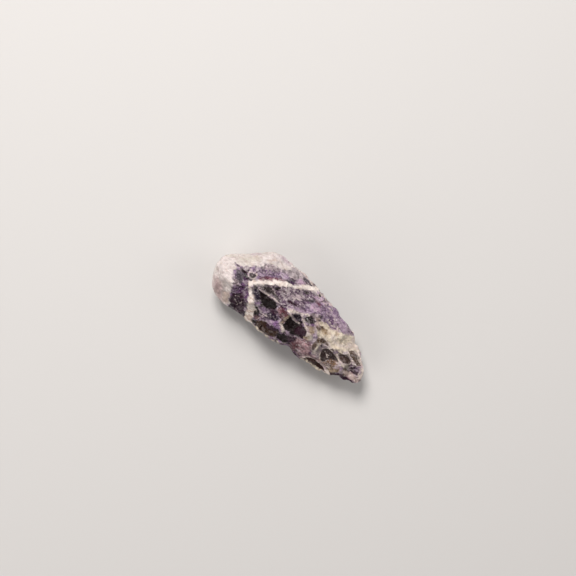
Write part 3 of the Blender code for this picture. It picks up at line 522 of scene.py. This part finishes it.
def within(x, y, edge, corners, box):
    """1 inside a place, 0 outside it, with its soft edge between, and the distance from the edge."""
    low_x, high_x, low_y, high_y = box
    if not (low_x < x < high_x and low_y < y < high_y):
        return 0.0, math.inf
    gap = edge_distance(x, y, corners)
    return 1.0 - smooth(gap, -edge, edge), gap


def rim_ring(gap):
    """1 on the bruised rim just outside a place's edge."""
    return smooth(gap, -0.1, 0.1) * (1.0 - smooth(gap, 0.15, RIM_WIDTH))


def crack_at(x, y):
    """1 in the middle of a crack, 0 away from all of them."""
    share = 0.0
    for half_width, points, (low_x, high_x, low_y, high_y) in cracks:
        if low_x < x < high_x and low_y < y < high_y:
            gap = path_distance(x, y, points)
            share = max(share, 1.0 - smooth(gap, half_width * 0.5, half_width * 1.4))
    return share


# Sizes and heights of the skin's rounded lumps, of the grains on them and of its long ridges
LUMP = 1.7
LUMP_HEIGHT = 0.5
SKIN_GRAIN_HEIGHT = 0.3
RIDGE = 2.2
RIDGE_HEIGHT = 0.6


def skin_lumps(point, splinter_gap):
    """Height of the milky skin over its own middle level."""
    lumps = LUMP_HEIGHT * (0.5 - noise.voronoi(point / LUMP)[0][0])
    grains = SKIN_GRAIN_HEIGHT * (0.5 - splinter_gap)
    ridges = 0.3 - abs(noise.noise(Vector((point.x * 0.5, point.y, point.z)) / RIDGE))
    return lumps + grains + RIDGE_HEIGHT * ridges


def merged_copy(node, name):
    """The node's mesh as one closed surface, on an object of its own."""
    bm = bmesh.new()
    bm.from_mesh(node.data)
    bmesh.ops.remove_doubles(bm, verts=bm.verts[:], dist=MERGE_DISTANCE * MM)
    mesh = bpy.data.meshes.new(name)
    bm.to_mesh(mesh)
    bm.free()
    piece = bpy.data.objects.new(name, mesh)
    bpy.context.scene.collection.objects.link(piece)
    return piece


def even_mesh(piece, step):
    """Lay squares of one size over the piece."""
    remesh = piece.modifiers.new("even mesh", "REMESH")
    remesh.mode = "VOXEL"
    remesh.voxel_size = step * MM
    evaluated = piece.evaluated_get(bpy.context.evaluated_depsgraph_get())
    piece.data = bpy.data.meshes.new_from_object(evaluated)
    piece.modifiers.clear()


def shell_round(start):
    """Every vertex of the closed surface that a vertex belongs to."""
    shell = {start}
    newest = shell
    while newest:
        newest = {edge.other_vert(vert) for vert in newest for edge in vert.link_edges} - shell
        shell = shell | newest
    return shell


def drop_crumbs(bm):
    """Delete the crumbs that squares of one size leave in a narrow gap, and keep the stone."""
    shells = []
    left = set(bm.verts)
    while left:
        shell = shell_round(next(iter(left)))
        shells.append(shell)
        left -= shell
    stone_shell = max(shells, key=len)
    crumbs = [vert for vert in bm.verts if vert not in stone_shell]
    bmesh.ops.delete(bm, geom=crumbs, context="VERTS")


stone = merged_copy(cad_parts["amethyst_point"], "amethyst_stone")
even_mesh(stone, MESH_STEP)
bm = bmesh.new()
bm.from_mesh(stone.data)
drop_crumbs(bm)
for _ in range(SOFTENING_PASSES):
    bmesh.ops.smooth_vert(
        bm, verts=bm.verts[:], factor=0.5, use_axis_x=True, use_axis_y=True, use_axis_z=True
    )
bmesh.ops.scale(bm, vec=(1 / MM, 1 / MM, 1 / MM), verts=bm.verts[:])
bm.normal_update()

# Colours of the grains, the bruised rims and cracks, the milky lines and the skin, and how much of
# each can cover what is under it
DARK_GRAIN = tint(40, 28, 38)
DARK_COVER = 0.75
LIGHT_GRAIN = tint(218, 206, 207)
LIGHT_COVER = 0.7
RIM_COLOUR = tint(236, 220, 212)
RIM_COVER = 0.85
VEIN_COVER = 0.15
LINE_COVER = 0.95
LINE_COLOUR = tint(253, 243, 237)
# Tan of the milky lines: stains, and painted shade on their -Y arm
LINE_STAIN_AND_SHADE = tint(196, 168, 150)
CHALK = tint(235, 225, 223)
OLD_CHALK = LOOKS["green milk"][0]
CHIP_TONE = 0.8

# How far the surface turns up where the looks of the upper side begin, and where they are full
UPPER_START = 0.02
UPPER_END = 0.3

# Distances in millimetres over which the skin's age, the grains, the cracks and the veins change
AGE_SIZE = 4.5
GRAIN_WAVE = 1.8
CRACK_WAVE = 0.8
VEIN_WAVE = 2.4

# How far the edges of the chips and of the places wander, and over what distances
CHIP_WARP = 0.35
CHIP_WARP_SIZE = 1.1
PLACE_WANDER = 0.22
CLEAR_WANDER = 0.1
PLACE_WANDER_SIZE = 0.7
ACROSS_OFFSET = Vector((9.0, 0.0, 0.0))
VEIN_OFFSET = Vector((0.0, 4.0, 0.0))

# The edge of a grainy place keeps the first share of its own line, and the rest follows splinters
OWN_SHARE = 0.45
SPLINTER_SHARE = 0.55

# Slopes of the chips and the splinters, the width of a rim, and the heights of what is not level
CHIP_SLOPE = 0.26
SPLINTER_SLOPE = 0.26
RIM_WIDTH = 0.55
GRAIN_HEIGHT = 0.10
WINDOW_DEPTH = 0.35
RIM_HEIGHT = 0.10
LINE_HEIGHT = 0.15

# The share of the relief that steep flanks keep, and the heights over the ground between which the
# relief of the underside begins
FLANK_SHARE = 0.35
GROUND_START = 0.15
GROUND_END = 0.9

# The warp round the chips takes its offsets from this seed, or from the clock where none is set
noise.seed_set(1)
moves = []
colours = []
masks = {"clear": [], "grain": [], "milk": [], "skin": []}
for vert in bm.verts:
    point = vert.co
    upper = smooth(vert.normal.z + 0.2 * noise.noise(point / 1.2), UPPER_START, UPPER_END)
    warped = point + CHIP_WARP * noise.noise_vector(point / CHIP_WARP_SIZE)
    gaps, centres = noise.voronoi(warped / CHIP)
    chip_centre = centres[0] * CHIP
    splinter, splinter_gap = splinter_at(point)
    chance = chance_of(splinter, GRAIN_CHANCE) + 0.45 * noise.noise(splinter / GRAIN_WAVE)
    chance = min(1.0, max(0.0, chance))
    skin = skin_at(point.lerp(splinter, 0.5))
    colour, clear, grain = chip_look(chip_centre)
    colour = colour.copy()
    aged = smooth(noise.noise(point / AGE_SIZE), 0.0, 0.45) * (0.8 - 0.6 * upper)
    chalk = CHALK.lerp(OLD_CHALK, aged) * (0.90 + 0.16 * chance)
    line = line_at(point, upper)
    sunk = 0.0
    rim = 0.0
    if upper > 0.0:
        wander_x = noise.noise(point / PLACE_WANDER_SIZE)
        wander_y = noise.noise(point / PLACE_WANDER_SIZE + ACROSS_OFFSET)
        x = point.x + PLACE_WANDER * wander_x
        y = point.y + PLACE_WANDER * wander_y
        clear_x = point.x + CLEAR_WANDER * wander_x
        clear_y = point.y + CLEAR_WANDER * wander_y
        grain_x = OWN_SHARE * x + SPLINTER_SHARE * splinter.x
        grain_y = OWN_SHARE * y + SPLINTER_SHARE * splinter.y
        for name, edge, depth, bruise, corners, box in patches + breaks:
            patch_colour, patch_clear, patch_grain = LOOKS[name]
            if patch_clear > 0.5:
                share, gap = within(clear_x, clear_y, edge, corners, box)
            else:
                share, gap = within(grain_x, grain_y, edge, corners, box)
            if gap > REACH:
                continue
            share *= upper
            colour = colour.lerp(patch_colour, share)
            clear += (patch_clear - clear) * share
            grain += (patch_grain - grain) * share
            rim *= 1.0 - share
            rim = max(rim, bruise * rim_ring(gap) * upper)
            sunk = max(sunk, depth * smooth(-gap, -0.1, 0.35) * upper)
        for name, edge, depth, bruise, corners, box in breaks:
            skin *= 1.0 - within(grain_x, grain_y, edge, corners, box)[0] * upper
        # Stains on the skin, and the painted mauve shade on its -Y side
        for name, edge, strength, corners, box in stains_and_shade:
            share = within(x, y, edge, corners, box)[0] * strength * upper
            chalk = chalk.lerp(LOOKS[name][0], share)
        for edge, corners, box in arms:
            line = max(line, within(grain_x, grain_y, edge, corners, box)[0] * upper)
        fading = 0.4 + 0.6 * smooth(noise.noise(point / CRACK_WAVE), -0.3, 0.2)
        rim = max(rim, crack_at(x, y) * fading * upper)

    # Healed veins between the chips, then the chance tone of each chip and of each grain
    vein = 1.0 - smooth(gaps[1] - gaps[0], 0.02, 0.14)
    vein *= smooth(noise.noise(point / VEIN_WAVE + VEIN_OFFSET), -0.2, 0.25)
    rim *= 0.45 + 0.7 * chance
    rim = max(rim, VEIN_COVER * vein * smooth(grain, 0.4, 0.9))
    colour *= 1.0 + CHIP_TONE * (0.5 * noise.cell(chip_centre * TONE_CHANCE) - 0.1) * grain
    darker = smooth(0.36 - chance, 0.0, 0.3) * grain
    lighter = smooth(chance, 0.66, 0.95) * grain
    colour = colour.lerp(DARK_GRAIN, DARK_COVER * darker)
    colour = colour.lerp(LIGHT_GRAIN, LIGHT_COVER * lighter)
    colour = colour.lerp(RIM_COLOUR, min(RIM_COVER, rim))

    # The milky lines have random stains, and are darker tan towards the -Y edge, away from the key light:
    # painted shade
    shaded_arm = 0.3 * smooth(-point.y, 0.5, 3.5) + 0.15 * smooth(-point.y, 6.0, 11.0)
    stain_and_shade = smooth(chance + shaded_arm, 0.7, 1.2)
    colour = colour.lerp(LINE_COLOUR.lerp(LINE_STAIN_AND_SHADE, stain_and_shade), LINE_COVER * line)
    colour = colour.lerp(chalk, skin)
    milk = max(rim, line)
    clear *= 1.0 - milk
    rough = 1.0 - 0.8 * clear
    broken = CHIP_SLOPE * tilted(warped, chip_centre) * (1.0 - 0.7 * sunk) * (1.0 - 0.5 * line)
    broken += SPLINTER_SLOPE * tilted(point, splinter) * rough * (1.0 - 0.7 * line)
    broken += GRAIN_HEIGHT * (lighter - darker) * rough - WINDOW_DEPTH * sunk
    broken += RIM_HEIGHT * rim + LINE_HEIGHT * line
    height = broken * (1.0 - skin) + skin_lumps(point, splinter_gap) * skin

    # The relief is lower on steep flanks, and the face that the stone lies on stays flat
    height *= FLANK_SHARE + (1.0 - FLANK_SHARE) * smooth(abs(vert.normal.z), 0.1, 0.6)
    if vert.normal.z < -0.5:
        height *= smooth(point.z, GROUND_START, GROUND_END)
    moves.append(vert.normal * height)
    colours.append(colour)
    masks["clear"].append(clear * (1.0 - skin))
    masks["grain"].append(grain * (1.0 - line) * (1.0 - skin))
    masks["milk"].append(milk)
    masks["skin"].append(skin)
for vert, move in zip(bm.verts, moves):
    vert.co += move
    vert.co.z = max(0.0, vert.co.z)
bmesh.ops.scale(bm, vec=(MM, MM, MM), verts=bm.verts[:])
bm.to_mesh(stone.data)
bm.free()
for name, values in masks.items():
    attribute = stone.data.attributes.new(name, "FLOAT", "POINT")
    attribute.data.foreach_set("value", values)
attribute = stone.data.attributes.new("bands", "FLOAT_COLOR", "POINT")
attribute.data.foreach_set("color", [value for colour in colours for value in (*colour, 1.0)])
stone.data.polygons.foreach_set("use_smooth", [False] * len(stone.data.polygons))
stone.data.update()

# Broken quartz has a glassy lustre on clear chips, a frosted one on grainy breaks and a duller one
# on the milky skin.
material = bpy.data.materials.new("chevron_quartz")
material.use_nodes = True
nodes = material.node_tree.nodes
links = material.node_tree.links
shader = nodes["Principled BSDF"]


def wire(source, target):
    """Feed a socket from another socket, or set it to a plain value."""
    if isinstance(source, bpy.types.NodeSocket):
        links.new(source, target)
    elif isinstance(source, Vector):
        target.default_value = (*source, 1.0)
    else:
        target.default_value = source


def maths(operation, first, second=0.0, third=0.0):
    """One sum, as a node."""
    node = nodes.new("ShaderNodeMath")
    node.operation = operation
    for source, target in zip((first, second, third), node.inputs):
        wire(source, target)
    return node.outputs[0]


def rise(value, start, end):
    """0 at start and 1 at end, with a smooth rise, as a node."""
    node = nodes.new("ShaderNodeMapRange")
    node.interpolation_type = "SMOOTHSTEP"
    wire(value, node.inputs["Value"])
    node.inputs["From Min"].default_value = start
    node.inputs["From Max"].default_value = end
    return node.outputs["Result"]


def mixed(share, first, second):
    """Two colours mixed, as a node."""
    node = nodes.new("ShaderNodeMixRGB")
    wire(share, node.inputs["Fac"])
    wire(first, node.inputs["Color1"])
    wire(second, node.inputs["Color2"])
    return node.outputs["Color"]


def mask(name):
    """One of the stone's own attributes."""
    node = nodes.new("ShaderNodeAttribute")
    node.attribute_name = name
    return node.outputs["Fac"]


place = nodes.new("ShaderNodeTexCoord").outputs["Object"]


def cloud(size, detail=3.0):
    """Soft noise with features of a size in millimetres."""
    node = nodes.new("ShaderNodeTexNoise")
    links.new(place, node.inputs["Vector"])
    node.inputs["Scale"].default_value = 1 / (size * MM)
    node.inputs["Detail"].default_value = detail
    return node.outputs["Fac"]


def flakes(size):
    """Cells of a size in millimetres: their chance colour, and the offset from each centre."""
    node = nodes.new("ShaderNodeTexVoronoi")
    links.new(place, node.inputs["Vector"])
    node.inputs["Scale"].default_value = 1 / (size * MM)
    offset = nodes.new("ShaderNodeVectorMath")
    offset.operation = "SUBTRACT"
    links.new(place, offset.inputs[0])
    links.new(node.outputs["Position"], offset.inputs[1])
    return node.outputs["Color"], offset.outputs[0]


def flake_height(size, steepness):
    """Height in metres of small tilted planes, one for each flake."""
    colour, offset = flakes(size)
    centred = nodes.new("ShaderNodeVectorMath")
    centred.operation = "SUBTRACT"
    links.new(colour, centred.inputs[0])
    centred.inputs[1].default_value = (0.5, 0.5, 0.5)
    slope = nodes.new("ShaderNodeVectorMath")
    slope.operation = "DOT_PRODUCT"
    links.new(centred.outputs[0], slope.inputs[0])
    links.new(offset, slope.inputs[1])
    return maths("MULTIPLY", slope.outputs["Value"], steepness)


# Flecks and painted glints of the grainy breaks, a haze in the clear ones, and warmer places in the milk
FLECK = 0.42
FINE_FLAKE = 0.2
DARK_FLECK = tint(44, 30, 38)
# Light flecks are white specks of the break, and also painted glitter standing in for highlights
LIGHT_FLECK_AND_GLITTER = tint(224, 206, 210)
# Colour of the painted glints: a painted highlight
PAINTED_GLINT = tint(252, 248, 246)
HAZE = tint(156, 138, 142)
BRIGHT_MILK = tint(250, 241, 235)
WARM_MILK = tint(214, 195, 184)
bands = nodes.new("ShaderNodeAttribute")
bands.attribute_name = "bands"
clear = mask("clear")
milk = mask("milk")
grain = mask("grain")
skin = rise(mask("skin"), 0.3, 0.7)
speck = nodes.new("ShaderNodeSeparateColor")
links.new(flakes(FLECK)[0], speck.inputs["Color"])
chance = speck.outputs["Red"]
second_chance = speck.outputs["Green"]
third_chance = speck.outputs["Blue"]
# Light flecks: white specks, and painted glitter in place of highlights
light_fleck_and_glitter = maths("MULTIPLY", rise(chance, 0.70, 0.92), maths("MULTIPLY", grain, 0.6))
dark_fleck = maths("MULTIPLY", rise(second_chance, 0.72, 0.95), maths("MULTIPLY", grain, 0.45))
colour = mixed(dark_fleck, bands.outputs["Color"], DARK_FLECK)
colour = mixed(light_fleck_and_glitter, colour, LIGHT_FLECK_AND_GLITTER)
# Painted glints: a few flakes turned near white in the colour, standing in for highlights
painted_glint = maths("MULTIPLY", rise(third_chance, 0.98, 0.985), maths("MULTIPLY", grain, 0.9))
colour = mixed(painted_glint, colour, PAINTED_GLINT)
haze = maths("MULTIPLY", rise(cloud(0.9), 0.45, 0.8), maths("MULTIPLY_ADD", clear, -0.22, 0.22))
colour = mixed(haze, colour, HAZE)
white = mixed(rise(cloud(0.8), 0.3, 0.7), BRIGHT_MILK, WARM_MILK)
colour = mixed(maths("MULTIPLY", milk, 0.35), colour, white)

# The skin has streaks along its edge, and soft stains
STREAK = 1.1
STREAK_TURN = 51
STREAK_SQUEEZE = (0.35, 1.0, 0.6)
MAUVE_STREAK = tint(176, 152, 146)
CREAM_STAIN = tint(196, 182, 160)
streaks = nodes.new("ShaderNodeMapping")
links.new(place, streaks.inputs["Vector"])
streaks.inputs["Rotation"].default_value = (0.0, 0.0, math.radians(STREAK_TURN))
streaks.inputs["Scale"].default_value = STREAK_SQUEEZE
streak = nodes.new("ShaderNodeTexNoise")
links.new(streaks.outputs[0], streak.inputs["Vector"])
streak.inputs["Scale"].default_value = 1 / (STREAK * MM)
streak.inputs["Detail"].default_value = 3.0
shade = maths("MULTIPLY", rise(streak.outputs["Fac"], 0.42, 0.70), maths("MULTIPLY", skin, 0.45))
colour = mixed(shade, colour, MAUVE_STREAK)
shade = maths("MULTIPLY", rise(cloud(1.3), 0.5, 0.74), maths("MULTIPLY", skin, 0.30))
colour = mixed(shade, colour, CREAM_STAIN)
links.new(colour, shader.inputs["Base Color"])

# Roughness of the shiniest flakes, of the clear windows, of the milky lines and of the skin
FLAKE_ROUGHNESS = 0.12
CLEAR_ROUGHNESS = 0.10
MILK_ROUGHNESS = 0.42
SKIN_ROUGHNESS = 0.50
dull = maths("MULTIPLY", second_chance, second_chance)
gloss = maths("MULTIPLY_ADD", dull, 0.36, FLAKE_ROUGHNESS)
gloss = maths("ADD", gloss, maths("MULTIPLY", clear, maths("SUBTRACT", CLEAR_ROUGHNESS, gloss)))
rough = maths("MAXIMUM", gloss, maths("MULTIPLY", milk, MILK_ROUGHNESS))
rough = maths("MAXIMUM", rough, maths("MULTIPLY", skin, SKIN_ROUGHNESS))
links.new(rough, shader.inputs["Roughness"])
shader.inputs["IOR"].default_value = 1.544
shader.inputs["Specular IOR Level"].default_value = 0.16
shader.inputs["Metallic"].default_value = 0.0
shader.inputs["Subsurface Weight"].default_value = 0.10
shader.inputs["Subsurface Radius"].default_value = (1.0, 0.85, 0.95)
shader.inputs["Subsurface Scale"].default_value = 0.7 * MM

# Small tilted flakes glitter in the grainy breaks, and are lower in what is clear or milky
fine = maths("ADD", flake_height(FLECK, 1.0), flake_height(FINE_FLAKE, 0.9))
fine = maths("MULTIPLY", fine, maths("SUBTRACT", 1.0, maths("MULTIPLY", clear, 0.9)))
fine = maths("MULTIPLY", fine, maths("SUBTRACT", 1.0, maths("MULTIPLY", milk, 0.6)))
fine = maths("MULTIPLY", fine, maths("SUBTRACT", 1.0, maths("MULTIPLY", skin, 0.35)))
fine = maths("MULTIPLY_ADD", cloud(0.4), 0.05 * MM, fine)
bump = nodes.new("ShaderNodeBump")
bump.inputs["Distance"].default_value = 1.0
bump.inputs["Strength"].default_value = 1.0
links.new(fine, bump.inputs["Height"])
links.new(bump.outputs["Normal"], shader.inputs["Normal"])

stone.data.materials.clear()
stone.data.materials.append(material)
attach(stone, "root")
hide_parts("amethyst_point")

# The floor, the light and the camera
# A plain pale floor under the stone, one large soft light and two weaker ones beside it, and a
# camera straight above.
FLOOR_HALF = 3.0
FLOOR_COLOUR = (0.62, 0.61, 0.60, 1.0)
LAMP_COLOUR = (1.0, 0.965, 0.94)
ROOM_COLOUR = (1.0, 0.97, 0.95, 1.0)
ROOM_STRENGTH = 0.22
floor_bm = bmesh.new()
bmesh.ops.create_grid(floor_bm, x_segments=1, y_segments=1, size=FLOOR_HALF)
floor_mesh = bpy.data.meshes.new("floor")
floor_bm.to_mesh(floor_mesh)
floor_bm.free()
floor = bpy.data.objects.new("floor", floor_mesh)
bpy.context.scene.collection.objects.link(floor)
floor_material = bpy.data.materials.new("pale_floor")
floor_material.use_nodes = True
floor_shader = floor_material.node_tree.nodes["Principled BSDF"]
floor_shader.inputs["Base Color"].default_value = FLOOR_COLOUR
floor_shader.inputs["Roughness"].default_value = 0.9
floor.data.materials.append(floor_material)


def soft_light(name, heading, height_angle, distance, size, power):
    """A square light that faces the stone, from a heading in the plan and an angle above it."""
    lamp = bpy.data.lights.new(name, "AREA")
    lamp.size = size
    lamp.energy = power
    lamp.color = LAMP_COLOUR
    holder = bpy.data.objects.new(name, lamp)
    bpy.context.scene.collection.objects.link(holder)
    turn = math.radians(heading)
    rise_angle = math.radians(height_angle)
    flat = math.cos(rise_angle)
    way = Vector((flat * math.cos(turn), flat * math.sin(turn), math.sin(rise_angle)))
    holder.location = way * distance
    holder.rotation_euler = (-way).to_track_quat("-Z", "Y").to_euler()


soft_light("key light", heading=142, height_angle=52, distance=0.8, size=0.36, power=6.4)
soft_light("side light", heading=40, height_angle=40, distance=0.9, size=0.5, power=1.4)
soft_light("low light", heading=245, height_angle=32, distance=0.9, size=0.6, power=2.6)
world = bpy.data.worlds.new("studio")
world.use_nodes = True
world.node_tree.nodes["Background"].inputs["Color"].default_value = ROOM_COLOUR
world.node_tree.nodes["Background"].inputs["Strength"].default_value = ROOM_STRENGTH
bpy.context.scene.world = world
bpy.context.scene.view_settings.view_transform = "Standard"

# The frame is centred and turned so that the stone lies in it as it does in the photograph
PHOTO_PIXELS = 576
PIXELS_PER_MM = 2.75
CAMERA_HEIGHT = 600.0
FRAME_CENTRE = (-7.9, 5.55)
FRAME_TURN = 38.87
SENSOR = 36.0
OUTLINE_HEIGHT = 10.0
camera_data = bpy.data.cameras.new("camera")
camera_data.sensor_width = SENSOR
camera_data.lens = SENSOR * CAMERA_HEIGHT * PIXELS_PER_MM / PHOTO_PIXELS
camera = bpy.data.objects.new("camera", camera_data)
bpy.context.scene.collection.objects.link(camera)
camera.location = Vector((*FRAME_CENTRE, CAMERA_HEIGHT + OUTLINE_HEIGHT)) * MM
camera.rotation_euler = (0.0, 0.0, math.radians(FRAME_TURN))
bpy.context.scene.camera = camera
